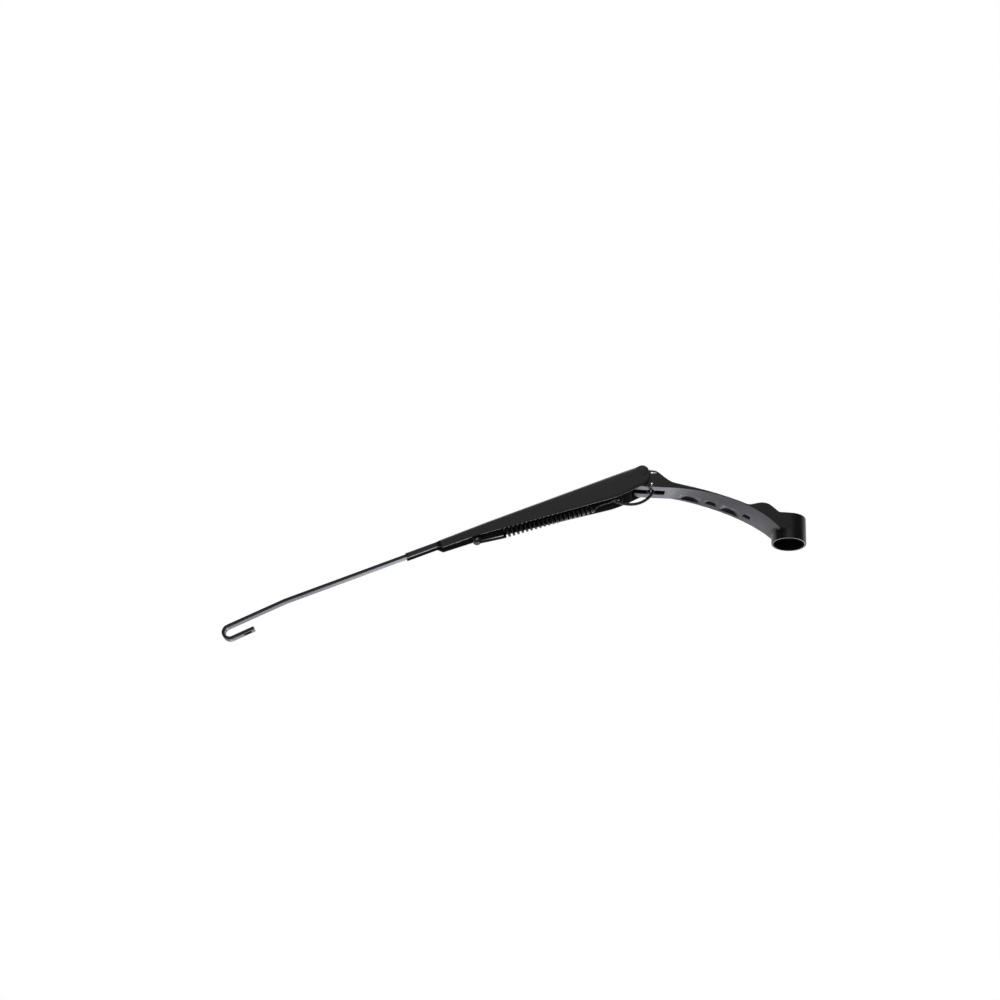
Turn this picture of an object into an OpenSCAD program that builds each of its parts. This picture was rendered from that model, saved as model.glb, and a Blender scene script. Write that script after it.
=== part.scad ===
// Windscreen wiper arm with a folding head, seen in its free, drooped state.
// Origin: centre of the mouth of the spindle bore. +Z runs up the spindle, the arm reaches along -X.

/* [Hub] */
// Outer diameter of the hub
hub_d = 34.4; // [31:0.2:40]
// Wall of the skirt around the hollow underneath
skirt_t = 2.2; // [1.6:0.1:4]
// Depth of the hollow under the web
skirt_depth = 13; // [9:0.5:18]
// Thickness of the web that sits on the spindle
web_t = 7; // [5:0.5:10]
// Depth of the nut recess above the web
recess_depth = 7.7; // [5:0.1:10]
// Diameter of the nut recess
recess_d = 20; // [17:0.5:24]
// Diameter of the spindle bore
bore_d = 10; // [8:0.1:12]

/* [Head] */
// Distance from the spindle to the hinge
hinge_x = 149.8; // [140:0.2:165]
// Height of the hinge above the mouth of the spindle bore
hinge_z = 48.5; // [45:0.5:54]
// Width of the head at the hinge
head_w = 27.4; // [23:0.2:32]
// Length of the nose beyond the hinge
nose_len = 8; // [7:0.5:11]
// Radius of the nose's top around the hinge
nose_r = 5.6; // [5.2:0.1:6.2]
// Radius of the nose's corners
nose_round = 2.5; // [1.5:0.1:4]
// Depth of the nose's underside below the hinge
nose_drop = 16.2; // [15.6:0.1:18]
// Depth of the straight underside below the hinge, where the curve to the hub starts
knuckle_drop = 14.9; // [14.4:0.1:16]
// Distance from the hinge to that start of the curve
knuckle_len = 31.8; // [28:0.2:36]
// Height of the crest above the hinge
crest_h = 3.4; // [2:0.1:4.8]
// Distance from the hinge to the end of the crest
crest_len = 12; // [10:0.2:16]
// Distance from the hinge to the foot of the crest's back
shoulder_len = 29.8; // [26:0.2:34]
// Depth of that foot below the hinge
shoulder_drop = 8.4; // [7:0.1:10]
// Distance of the thinnest part of the head from the spindle
waist_x = 46; // [42:0.5:52]
// Height of the head's top at its thinnest part
waist_z = 21.7; // [20:0.1:24]
// Distance of the hump from the spindle
hump_x = 29; // [27:0.5:31]
// Height of the hump
hump_z = 23.9; // [22:0.1:28]
// Distance of the top of the bevel from the spindle
bevel_x = 21.5; // [20:0.5:24]
// Height of the top of the bevel
bevel_z = 22.1; // [19:0.1:25]
// Distance of the foot of the bevel from the spindle
bevel_foot = 12.6; // [11:0.2:15]
// Depth below the bore's mouth at which the underside meets the hub
foot_drop = 3; // [0:0.5:6]
// Width of the cored slot in the underside of the knuckle
slot_w = 8; // [6:0.2:12]
// Distance from the hinge to the closed end of the slot
slot_len = 23.6; // [20:0.2:28]
// Height of the slot above the nose's underside
slot_h = 9; // [8.4:0.2:9.6]
// Depth to which the slot runs on up the end of the nose
groove = 2.2; // [1.8:0.1:2.3]
// Depth of the pockets scooped out of the underside
pocket_depth = 3.4; // [1:0.1:4]
// Distance of the pockets' near wall from the middle, toward the far side
pocket_near = 2; // [-2:0.1:4]

/* [Hinge] */
// Diameter of the hinge rivet's shank
rivet_d = 6; // [5:0.1:6.4]
// Running clearance of the rivet in its bushes, on the radius
rivet_play = 0.04; // [0.02:0.01:0.1]
// Wall of the flanged bushes
bush_t = 1; // [0.7:0.1:1.2]
// Length of the bushes behind their flanges
bush_len = 9; // [5:0.5:12]
// Thickness of the bushes' flanges
bush_flange_t = 0.6; // [0.4:0.1:0.8]
// Diameter of the bushes' flanges
bush_flange_d = 10.6; // [9:0.2:11]
// Play between a bush's flange and the channel
side_play = 0.12; // [0.05:0.01:0.3]
// Diameter of the hinge rivet's heads
rivet_head_d = 7.6; // [7.2:0.1:10]
// Height of the hinge rivet's heads
rivet_head_h = 0.8; // [0.6:0.1:2.4]

/* [Channel] */
// Angle by which the arm droops below the spindle's square, in degrees
droop = 27.1; // [22:0.1:30]
// Thickness of the sheet
sheet_t = 1; // [0.8:0.1:1.4]
// Radius of the flanges' upper corners around the hinge
end_r = 7.5; // [7.3:0.1:8.5]
// Distance from the hinge at which the channel's top ends, so that it clears the crest as it swings
top_end = 8; // [7.4:0.1:12]
// Length from the hinge to the narrow mouth
channel_len = 255; // [245:1:275]
// Length of the narrow end that grips the rod
grip_len = 32; // [26:1:40]
// Length of the step between the wide part and the grip
grip_step = 5; // [3:0.5:8]
// Half width of the wide part just behind the step
narrow_half_w = 7; // [6.6:0.1:8.5]
// Length from the hinge over which the channel keeps its full width
wide_len = 20; // [15:1:30]
// Length from the hinge over which the top slopes
slope_len = 170; // [160:1:180]
// Depth of the flanges' edge below the rod's underside in the grip
grip_drop = 1.4; // [0.8:0.1:3]
// Height of the flanges' edge above the hinge behind the step
step_edge = 1.3; // [0.8:0.1:3]
// Height of the flanges' edge above the hinge at the spring's anchor
anchor_edge = 0.3; // [-1:0.1:1]
// Length from the hinge to the start of the curve in the flanges' edge
belly_len = 42; // [36:1:50]
// Depth of the flanges below the hinge where they are deepest
flange_drop = 15.8; // [14.5:0.1:17]
// Depth of the flanges below the hinge at their rounded hub-side corner
heel_drop = 13.9; // [13:0.1:14.4]
// Reach of that corner beyond the hinge
heel_reach = 5.7; // [4.5:0.1:6.5]

/* [Rod] */
// Width of the rod
rod_w = 8; // [7:0.1:9]
// Thickness of the rod
rod_t = 3; // [2.6:0.1:3.6]
// Height of the rod's underside above the hinge, square to the arm
rod_z = 6.4; // [6:0.1:7]
// Length from the hinge to the rod's inner end
rod_start = 172; // [168:1:178]
// Length from the hinge to the bend
bend_at = 381; // [340:1:420]
// Angle of the bend, in degrees
bend_angle = 4.4; // [0:0.1:10]
// Radius of the bend
bend_r = 40; // [20:1:80]
// Length from the bend to the centre of the hook
tip_len = 59.5; // [45:0.1:80]
// Inner radius of the hook
hook_r = 4.9; // [4:0.1:6]
// Straight length of the hook's return leg
return_len = 22.4; // [16:0.1:28]
// Length of the oval hole in the return leg
eye_len = 8; // [6:0.2:10]
// Width of the oval hole in the return leg
eye_w = 4.4; // [3.5:0.1:5.5]
// Distance from the oval hole's centre to the end of the return leg
eye_inset = 7.5; // [6:0.1:9]

/* [Spring and link] */
// Length from the hinge to the spring's anchor pin
anchor_x = 182.8; // [178:0.2:188]
// Depth of the anchor pin below the hinge, square to the arm
anchor_drop = 1.4; // [0.5:0.1:2.5]
// Diameter of the anchor pin
anchor_d = 3; // [2.5:0.1:3.5]
// Length of the anchor pin's ends outside the hanger
pin_end = 0.6; // [0.3:0.1:1.2]
// Thickness of the spring's hanger
hanger_t = 1.5; // [1.2:0.1:2]
// Radius of the hanger's round ends
hanger_r = 4.4; // [4:0.1:5.2]
// Length of the hanger's base along the rod
hanger_len = 26; // [24:0.5:30]
// Distance from the anchor pin to the first of the two rivets through the rod
rod_rivet_from = 9; // [8.5:0.1:10]
// Distance between those rivets
rod_rivet_gap = 9; // [8.2:0.1:9.2]
// Diameter of those rivets
rod_rivet_d = 4; // [3:0.1:4.6]
// Diameter of their heads
rod_rivet_head_d = 7; // [6:0.1:8]
// Height of their heads
rod_rivet_head_h = 1.4; // [1:0.1:2]
// Outer diameter of the spring's coil
coil_d = 12.8; // [11.6:0.1:13.4]
// Diameter of the spring's wire
wire_d = 2.8; // [2.2:0.1:3]
// Number of turns in the coil
coil_turns = 20; // [14:1:22]
// Length of the coil
coil_len = 93; // [80:0.5:98]
// Length from the anchor pin to the start of the coil
coil_start = 28; // [25:0.5:32]
// Length of the bends between the coil and its shanks
coil_lead = 4; // [3:0.5:5]
// Gap between the spring's eyes and what they hook on
eye_play = 0.15; // [0.05:0.01:0.3]
// Distance from the hinge to the link's pivot, toward the hub
link_x = 9.4; // [8:0.1:10]
// Depth of the link's pivot below the hinge
link_drop = 13.1; // [12.8:0.1:13.4]
// Diameter of the pin in the head that the link turns on
link_pin_d = 3.4; // [3:0.1:3.6]
// Depth of that pin's ends below the head's sides
link_pin_inset = 0.2; // [0:0.1:1]
// Distance between the middles of the link's two eyes
link_reach = 34.8; // [32:0.1:37]
// Diameter of the link's wire
link_d = 3; // [2.6:0.1:3.2]
// Running clearance of the link's eye on its pin, on the radius
link_play = 0.05; // [0.02:0.01:0.1]
// Radius of the link's other eye, to the middle of the wire
spring_eye_r = 3.3; // [3.2:0.1:3.6]
// Angle at which the bow leaves the eye on the pin
bow_from = 225; // [215:1:235]
// Angle at which the bow meets the other eye
bow_to = 310; // [300:1:320]
// Length over which the bow keeps that first direction
bow_pull = 13; // [8:0.5:16]
// Length over which it takes up the last direction
eye_pull = 19; // [12:0.5:20]

/* [Hidden] */
$fn = 64;
eps = 0.02;
over = 1;

hub_top = web_t + recess_depth;
hub_low = -skirt_depth;
bush_bore_d = rivet_d + 2 * bush_t + 2 * rivet_play;
head_half_w = head_w / 2;
inner_half_w = head_half_w + bush_flange_t + side_play;
wide_half_w = inner_half_w + sheet_t;
grip_half_w = rod_w / 2 + sheet_t;
grip_from = channel_len - grip_len;
top_z = rod_z + rod_t + sheet_t;
hanger_gap = wire_d / 2 + 0.3;
eye_r = anchor_d / 2 + eye_play + wire_d / 2;
link_eye_r = link_d / 2 + eye_play + wire_d / 2;
coil_r = (coil_d - wire_d) / 2;
pin_eye_r = link_pin_d / 2 + link_play + link_d / 2;

// Places in the side view, as [x, z]
hinge_at = [-hinge_x, hinge_z];
link_at = hinge_at + [link_x, -link_drop];
anchor_at = hinge_at + turned([-anchor_x, -anchor_drop], droop);
spring_line = anchor_at - link_at;
spring_tilt = atan2(-spring_line[1], -spring_line[0]);
spring_reach = norm(spring_line) - link_reach;

// Pockets in the head's underside: the distances of their two ends from the spindle and of their far
// wall from the middle
POCKETS = [[88, 110, 10], [71, 85, 7.5], [48.5, 69.5, 11], [38, 46.5, 6.5]];

function turned(p, a) = [p[0] * cos(a) - p[1] * sin(a), p[0] * sin(a) + p[1] * cos(a)];

function bezier_at(p, t) =
    pow(1 - t, 3) * p[0] + 3 * pow(1 - t, 2) * t * p[1] + 3 * (1 - t) * t * t * p[2] + pow(t, 3) * p[3];

function bezier(p, steps = 16) = [for (i = [0 : steps]) bezier_at(p, i / steps)];

function arc(centre, r, from, to, steps = 10) =
    [for (i = [0 : steps]) let (a = from + (to - from) * i / steps) centre + r * [cos(a), sin(a)]];

function backwards(points, from_last) = [for (i = [len(points) - from_last : -1 : 0]) points[i]];

// Side view to solid: the sketch's y becomes z, and the width lies evenly about the middle
module across(w) {
    translate([0, w / 2, 0]) rotate([90, 0, 0]) linear_extrude(w) children();
}

// A round bar across the part at p = [x, z], from y0 to y1
module cross_bar(p, r, y0, y1) {
    translate([p[0], y1, p[1]]) rotate([90, 0, 0]) cylinder(r = r, h = y1 - y0);
}

// The arm's own frame: origin on the hinge, -X along the rod
module on_arm() {
    translate([hinge_at[0], 0, hinge_at[1]]) rotate([0, -droop, 0]) children();
}

// Closed tube of the given radius along a path of points, with a ring of sides at each point
module tube(path, r, sides = 8) {
    last = len(path) - 1;
    function ahead(i) = path[min(i + 1, last)] - path[max(i - 1, 0)];
    function unit(v) = v / norm(v);
    function first_normal(d) = unit(cross(d, abs(d[1]) < 0.9 * norm(d) ? [0, 1, 0] : [1, 0, 0]));
    function carried(n, d) = unit(n - d * (n * d) / (d * d));
    normals = [for (i = 0, n = first_normal(ahead(0)); i <= last;
                    i = i + 1, n = carried(n, ahead(min(i, last)))) n];
    rings = [for (i = [0 : last]) let (n = normals[i], b = unit(cross(ahead(i), n)))
             for (k = [0 : sides - 1]) path[i] + r * (cos(360 * k / sides) * n + sin(360 * k / sides) * b)];
    walls = [for (i = [0 : last - 1]) for (k = [0 : sides - 1]) let (j = (k + 1) % sides)
             [i * sides + k, (i + 1) * sides + k, (i + 1) * sides + j, i * sides + j]];
    start = [for (k = [0 : sides - 1]) k];
    end = [for (k = [sides - 1 : -1 : 0]) last * sides + k];
    polyhedron(rings, concat(walls, [start], [end]));
}

// The underside of the head from the knuckle to the hub leans: its far edge hangs lower than its near edge
knuckle_at = hinge_at + [knuckle_len, -knuckle_drop];
foot_at = [-hub_d / 2 + 5.2, -foot_drop];
far_edge = bezier([knuckle_at, knuckle_at + [20, -2], foot_at + [-30, 26], foot_at], 40);
near_edge = bezier([knuckle_at, knuckle_at + [38, 1.4], foot_at + [-22, 26], foot_at], 40);

// Everything under the leaning underside: a block whose top is ruled from one edge to the other
module under_head() {
    w = hub_d / 2 + over;
    low = 2 * hub_low;
    last = len(far_edge) - 1;
    points = [for (i = [0 : last]) let (
        middle = (far_edge[i] + near_edge[i]) / 2,
        lean = (far_edge[i] - near_edge[i]) * w / (head_half_w + hub_d / 2),
        far = middle + lean,
        near = middle - lean)
        each [[far[0], w, far[1]], [near[0], -w, near[1]], [near[0], -w, low], [far[0], w, low]]];
    walls = [for (i = [0 : last - 1]) for (k = [0 : 3]) let (j = (k + 1) % 4)
             [4 * i + k, 4 * i + 4 + k, 4 * i + 4 + j, 4 * i + j]];
    polyhedron(points, concat(walls, [[0, 1, 2, 3], [for (k = [3 : -1 : 0]) 4 * last + k]]));
}

module head_side_view() {
    shoulder_at = hinge_at + [shoulder_len, -shoulder_drop];
    waist_at = [-waist_x, waist_z];
    hump_at = [-hump_x, hump_z];
    crest_back = bezier([
        hinge_at + [crest_len, crest_h],
        hinge_at + [crest_len + 4, crest_h - 0.8],
        shoulder_at + [-6.5, 2.4],
        shoulder_at], 8);
    back = bezier([
        shoulder_at,
        shoulder_at + [4.5, -1.7],
        waist_at + [-36, 13.5],
        waist_at], 24);
    rise = bezier([waist_at, waist_at + [5, -2.8], hump_at + [-7, 0], hump_at], 8);
    fall = bezier([hump_at, hump_at + [3, 0], [-bevel_x - 2.5, bevel_z + 1.5], [-bevel_x, bevel_z]], 6);
    stop_x = nose_round - nose_len;
    stop_end = [stop_x, (nose_r - nose_round + stop_x * sin(droop)) / cos(droop)];
    polygon(concat(
        [knuckle_at, foot_at, [0, foot_at[1]], [0, hub_top], [-bevel_foot, hub_top]],
        backwards(fall, 1),
        backwards(rise, 2),
        backwards(back, 2),
        backwards(crest_back, 2),
        [hinge_at + [0, crest_h], hinge_at + [0, nose_r]],
        arc(hinge_at + stop_end, nose_round, 90 + droop, 180, 5),
        arc(hinge_at + [nose_round - nose_len, nose_round - nose_drop], nose_round, 180, 270, 6)));
}

module head_plan() {
    knuckle_end = -hinge_x + knuckle_len + 8;
    polygon([
        [-hinge_x - nose_len - over, -head_half_w],
        [knuckle_end, -head_half_w],
        [0, -hub_d / 2],
        [0, hub_d / 2],
        [knuckle_end, head_half_w],
        [-hinge_x - nose_len - over, head_half_w]]);
}

// One pocket: a round scoop across the underside, that ends at its far wall
module pocket(p) {
    from = [-p[1], lookup(-p[1], far_edge)];
    to = [-p[0], lookup(-p[0], far_edge)];
    chord = norm(to - from);
    r = (chord * chord / pocket_depth / 4 + pocket_depth) / 2;
    outward = [(to - from)[1], -(to - from)[0]] / chord;
    cross_bar((from + to) / 2 + outward * (r - pocket_depth), r, pocket_near, p[2]);
}

module head() {
    color("dimgray") difference() {
        union() {
            difference() {
                intersection() {
                    across(hub_d) head_side_view();
                    translate([0, 0, 3 * hub_low]) linear_extrude(3 * hinge_z) head_plan();
                }
                under_head();
            }
            cross_bar(hinge_at, nose_r, -head_half_w, head_half_w);
            translate([0, 0, hub_low]) cylinder(d = hub_d, h = hub_top - hub_low);
        }
        translate([0, 0, hub_low - over]) cylinder(d = hub_d - 2 * skirt_t, h = skirt_depth + over);
        translate([0, 0, -over]) cylinder(d = bore_d, h = web_t + 2 * over);
        translate([0, 0, web_t]) cylinder(d = recess_d, h = hump_z);
        cross_bar(hinge_at, bush_bore_d / 2, -head_w, head_w);
        cross_bar(link_at, link_pin_d / 2, -head_w, head_w);
        translate([-hinge_x - nose_len - over, -slot_w / 2, hinge_z - nose_drop - over])
            cube([nose_len + slot_len + over, slot_w, slot_h + over]);
        translate([-hinge_x - nose_len - over, -slot_w / 2, hinge_z - nose_drop])
            cube([groove + over, slot_w, 2 * nose_drop]);
        for (p = POCKETS) pocket(p);
    }
}

// One flanged bush, its bore along Z and its flange at the bottom
module flanged_bush() {
    difference() {
        union() {
            cylinder(d = bush_bore_d, h = bush_len);
            translate([0, 0, -bush_flange_t]) cylinder(d = bush_flange_d, h = bush_flange_t);
        }
        translate([0, 0, -over]) cylinder(r = rivet_d / 2 + rivet_play, h = bush_len + 2 * over);
    }
}

module hinge_bushes() {
    color("ivory") for (side = [-1, 1]) {
        translate([hinge_at[0], side * head_half_w, hinge_at[1]]) rotate([side * 90, 0, 0]) flanged_bush();
    }
}

module hinge_rivet() {
    color("gray") {
        cross_bar(hinge_at, rivet_d / 2, -wide_half_w - eps, wide_half_w + eps);
        for (side = [-1, 1]) {
            translate([hinge_at[0], side * wide_half_w, hinge_at[1]]) rotate([-side * 90, 0, 0])
                cylinder(d1 = rivet_head_d, d2 = rivet_head_d - 2, h = rivet_head_h);
        }
    }
}

// Half width of the channel's outside seen from above, as points along the arm
function channel_plan(inset) = [
    [-channel_len - (inset > 0 ? over : 0), grip_half_w - inset],
    [-grip_from, grip_half_w - inset],
    [-grip_from + grip_step, narrow_half_w - inset],
    [-wide_len, wide_half_w - inset],
    [2 * end_r, wide_half_w - inset]];

module channel_plan_view(inset) {
    side = channel_plan(inset);
    polygon(concat(side, [for (i = [len(side) - 1 : -1 : 0]) [side[i][0], -side[i][1]]]));
}

// Lower edge of the flanges, from the mouth to the rounded corner at the hub side
heel_r = heel_drop - 1;
heel_centre = [heel_reach - heel_r, -1];
function flange_edge() = concat(
    [[-channel_len, rod_z - grip_drop],
     [-grip_from, rod_z - grip_drop],
     [-grip_from + grip_step, step_edge],
     [-anchor_x, anchor_edge]],
    bezier([
        [-belly_len, 0.3 - flange_drop],
        [8 - belly_len, -0.4 - flange_drop],
        [18 - belly_len, 0.3 - flange_drop],
        heel_centre - [0, heel_r]], 6),
    arc(heel_centre, heel_r, -85, 0));

module channel_side_view() {
    polygon(concat(
        flange_edge(),
        arc([heel_reach + 0.2 - end_r, 0], end_r, 0, 90),
        [[-slope_len, top_z], [-channel_len, top_z]]));
}

// Everything that lies under the channel's top sheet
module under_top() {
    polygon([
        [-channel_len - over, top_z - sheet_t],
        [-slope_len, top_z - sheet_t],
        [-top_end, end_r - sheet_t],
        [-top_end, 2 * end_r],
        [2 * end_r, 2 * end_r],
        [2 * end_r, -2 * flange_drop],
        [-channel_len - over, -2 * flange_drop]]);
}

module channel() {
    color("dimgray") on_arm() difference() {
        intersection() {
            across(2 * wide_half_w) channel_side_view();
            translate([0, 0, -2 * flange_drop]) linear_extrude(4 * flange_drop) channel_plan_view(0);
        }
        intersection() {
            across(2 * wide_half_w) under_top();
            translate([0, 0, -2 * flange_drop - over]) linear_extrude(4 * flange_drop + 2 * over)
                channel_plan_view(sheet_t);
        }
        cross_bar([0, 0], rivet_d / 2, -2 * wide_half_w, 2 * wide_half_w);
        rod_rivet_places() translate([0, 0, -over]) cylinder(d = rod_rivet_d, h = 2 * top_z);
    }
}

// Places of the two rivets along the hanger's base
module rod_rivet_places() {
    for (x = [anchor_x + rod_rivet_from, anchor_x + rod_rivet_from + rod_rivet_gap]) {
        translate([-x, 0, 0]) children();
    }
}

// From the tip's own frame, with its origin at the bend, to the arm's frame
function on_tip(p) = [-bend_at, rod_z] + turned(p, bend_angle);

module rod_side_view() {
    bend_centre = [-bend_at + bend_r * tan(bend_angle / 2), rod_z - bend_r];
    hook_centre = [-tip_len, -hook_r];
    leg_end = hook_centre + [return_len, -hook_r];
    polygon(concat(
        [[-rod_start, rod_z]],
        arc(bend_centre, bend_r, 90, 90 + bend_angle, 3),
        [for (p = arc(hook_centre, hook_r, 90, 270, 20)) on_tip(p)],
        [on_tip(leg_end), on_tip(leg_end - [0, rod_t])],
        [for (p = arc(hook_centre, hook_r + rod_t, 270, 90, 20)) on_tip(p)],
        arc(bend_centre, bend_r + rod_t, 90 + bend_angle, 90, 3),
        [[-rod_start, rod_z + rod_t]]));
}

// Oval hole in the hook's return leg
module leg_hole() {
    translate([-bend_at, 0, rod_z]) rotate([0, -bend_angle, 0])
        translate([return_len - tip_len - eye_inset, 0, -2 * hook_r - rod_t - over]) {
            for (x = [-1, 1]) {
                translate([x * (eye_len - eye_w) / 2, 0, 0]) cylinder(d = eye_w, h = rod_t + 2 * over);
            }
            translate([(eye_w - eye_len) / 2, -eye_w / 2, 0]) cube([eye_len - eye_w, eye_w, rod_t + 2 * over]);
        }
}

module rod() {
    color("dimgray") on_arm() difference() {
        across(rod_w) rod_side_view();
        leg_hole();
        rod_rivet_places() translate([0, 0, rod_z - over]) cylinder(d = rod_rivet_d, h = rod_t + 2 * over);
    }
}

module spring_hanger() {
    base_z = rod_z - hanger_t;
    cheek_y = hanger_gap + hanger_t;
    color("dimgray") on_arm() difference() {
        union() {
            translate([-anchor_x - hanger_len + hanger_r, -rod_w / 2, base_z]) cube([hanger_len, rod_w, hanger_t]);
            for (y = [-cheek_y, hanger_gap]) {
                cross_bar([-anchor_x, -anchor_drop], hanger_r, y, y + hanger_t);
                translate([-anchor_x - hanger_r, y, -anchor_drop])
                    cube([2 * hanger_r, hanger_t, base_z + anchor_drop + eps]);
            }
        }
        cross_bar([-anchor_x, -anchor_drop], anchor_d / 2, -rod_w, rod_w);
        rod_rivet_places() translate([0, 0, base_z - over]) cylinder(d = rod_rivet_d, h = hanger_t + 2 * over);
    }
}

module spring_pin() {
    reach = hanger_gap + hanger_t + pin_end;
    color("silver") on_arm() cross_bar([-anchor_x, -anchor_drop], anchor_d / 2, -reach, reach);
}

module rod_rivets() {
    low = rod_z - hanger_t;
    color("gray") on_arm() rod_rivet_places() {
        translate([0, 0, low - eps]) cylinder(d = rod_rivet_d, h = top_z - low + 2 * eps);
        translate([0, 0, top_z])
            cylinder(d1 = rod_rivet_head_d, d2 = rod_rivet_head_d - 2, h = rod_rivet_head_h);
        translate([0, 0, low - rod_rivet_head_h])
            cylinder(d1 = rod_rivet_head_d - 2, d2 = rod_rivet_head_d, h = rod_rivet_head_h);
    }
}

// The spring's wire in its own frame: origin on the anchor pin, +X toward the link
function coil_point(t) = let (a = 360 * coil_turns * t - 90)
    [coil_start + coil_len * t, coil_r * cos(a), coil_r * sin(a)];

function spring_path() = let (
    steps = coil_turns * 15,
    coil_end = coil_start + coil_len,
    hook_x = spring_reach - spring_eye_r)
    concat(
        [for (a = [30 : 20 : 250]) [eye_r * cos(a), 0, eye_r * sin(a)]],
        [[0, 0, -eye_r], [coil_start - coil_lead, 0, -coil_r]],
        [for (i = [0 : steps]) coil_point(i / steps)],
        [[coil_end + coil_lead, 0, -coil_r / 2], [coil_end + 2 * coil_lead, 0, 0]],
        [[hook_x - 2 * link_eye_r, 0, 0]],
        [for (a = [200 : 20 : 480]) [hook_x + link_eye_r * cos(a), link_eye_r * sin(a), 0]]);

module spring() {
    color("dimgray") translate([anchor_at[0], 0, anchor_at[1]]) rotate([0, -spring_tilt, 0])
        tube(spring_path(), wire_d / 2);
}

// The link's bow in its own frame: origin on its pin, +X toward the other eye, +Z to the inside
function link_path() = let (
    start = pin_eye_r * [cos(bow_from), sin(bow_from)],
    end = [link_reach, 0] + spring_eye_r * [cos(bow_to), sin(bow_to)],
    line = concat(
        arc([0, 0], pin_eye_r, bow_from - 20, bow_from - 5, 3),
        bezier([
            start,
            start + bow_pull * [-sin(bow_from), cos(bow_from)],
            end - eye_pull * [-sin(bow_to), cos(bow_to)],
            end], 24),
        arc([link_reach, 0], spring_eye_r, bow_to + 5, bow_to + 20, 3)))
    [for (p = line) [p[0], 0, p[1]]];

module wire_eye(x, r) {
    translate([x, 0, 0]) rotate([90, 0, 0]) rotate_extrude() translate([r, 0]) circle(d = link_d);
}

module link() {
    color("dimgray") translate([link_at[0], 0, link_at[1]]) rotate([0, 180 - spring_tilt, 0]) rotate([180, 0, 0]) {
        tube(link_path(), link_d / 2 - eps, 12);
        wire_eye(0, pin_eye_r);
        wire_eye(link_reach, spring_eye_r);
    }
}

module link_pin() {
    reach = head_half_w - link_pin_inset;
    color("silver") cross_bar(link_at, link_pin_d / 2, -reach, reach);
}

head();
hinge_bushes();
hinge_rivet();
channel();
rod();
spring_hanger();
spring_pin();
rod_rivets();
spring();
link();
link_pin();
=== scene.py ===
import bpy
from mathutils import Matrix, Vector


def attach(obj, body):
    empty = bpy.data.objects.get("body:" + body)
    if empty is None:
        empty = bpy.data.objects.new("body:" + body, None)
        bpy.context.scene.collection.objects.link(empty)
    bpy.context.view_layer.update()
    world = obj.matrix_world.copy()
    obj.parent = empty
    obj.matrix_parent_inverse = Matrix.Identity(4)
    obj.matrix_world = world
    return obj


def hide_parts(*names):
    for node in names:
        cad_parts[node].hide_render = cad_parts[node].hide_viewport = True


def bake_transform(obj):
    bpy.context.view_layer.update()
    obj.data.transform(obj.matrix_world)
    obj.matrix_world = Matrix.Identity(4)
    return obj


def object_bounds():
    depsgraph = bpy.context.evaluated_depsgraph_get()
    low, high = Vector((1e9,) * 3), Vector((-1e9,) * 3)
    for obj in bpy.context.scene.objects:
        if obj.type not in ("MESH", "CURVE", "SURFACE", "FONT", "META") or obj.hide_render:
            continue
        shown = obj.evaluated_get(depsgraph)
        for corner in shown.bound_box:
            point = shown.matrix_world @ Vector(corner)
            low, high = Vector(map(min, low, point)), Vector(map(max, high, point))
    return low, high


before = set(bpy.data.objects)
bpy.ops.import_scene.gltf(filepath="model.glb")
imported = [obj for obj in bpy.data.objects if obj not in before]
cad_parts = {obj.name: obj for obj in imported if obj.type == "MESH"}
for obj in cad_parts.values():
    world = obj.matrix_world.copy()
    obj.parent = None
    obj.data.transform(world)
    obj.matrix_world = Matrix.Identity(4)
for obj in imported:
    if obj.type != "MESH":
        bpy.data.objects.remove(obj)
cad_box = [list(corner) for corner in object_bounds()]

import math

import bmesh
import bpy
import numpy as np
from mathutils import Matrix, Vector

# The view: the arm is seen from its near side and from below, on plain white.
# The lens and the camera's place are those at which the hub's rims and the rod's edges
# fall where the photograph has them.
camera_at = Vector((-0.2592, -1.14807, -0.53602))
camera_right = Vector((0.99637, -0.01104, 0.08435))
camera_up = Vector((-0.08088, -0.43021, 0.8991))
lens_mm = 45
sensor_mm = 36

camera = bpy.data.objects.new("camera", bpy.data.cameras.new("camera"))
camera.data.lens = lens_mm
camera.data.sensor_width = sensor_mm
camera.data.clip_start = 0.01
camera_axes = Matrix((camera_right, camera_up, camera_right.cross(camera_up))).transposed()
camera.matrix_world = Matrix.Translation(camera_at) @ camera_axes.to_4x4()
bpy.context.scene.collection.objects.link(camera)
bpy.context.scene.camera = camera
bpy.context.scene.view_settings.view_transform = "Standard"


def linear(hex_code):
    """An sRGB hex colour as the linear RGBA that a shader takes."""
    channels = [int(hex_code[i:i + 2], 16) / 255 for i in (1, 3, 5)]
    return [c / 12.92 if c <= 0.04045 else ((c + 0.055) / 1.055) ** 2.4 for c in channels] + [1.0]


def add_node(tree, kind, inputs=None, **settings):
    """One node, with its settings, and each input either linked from a socket or set to a value."""
    node = tree.nodes.new(kind)
    for name, value in settings.items():
        setattr(node, name, value)
    for name, value in (inputs or {}).items():
        if isinstance(value, bpy.types.NodeSocket):
            tree.links.new(value, node.inputs[name])
        else:
            node.inputs[name].default_value = value
    return node


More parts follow.
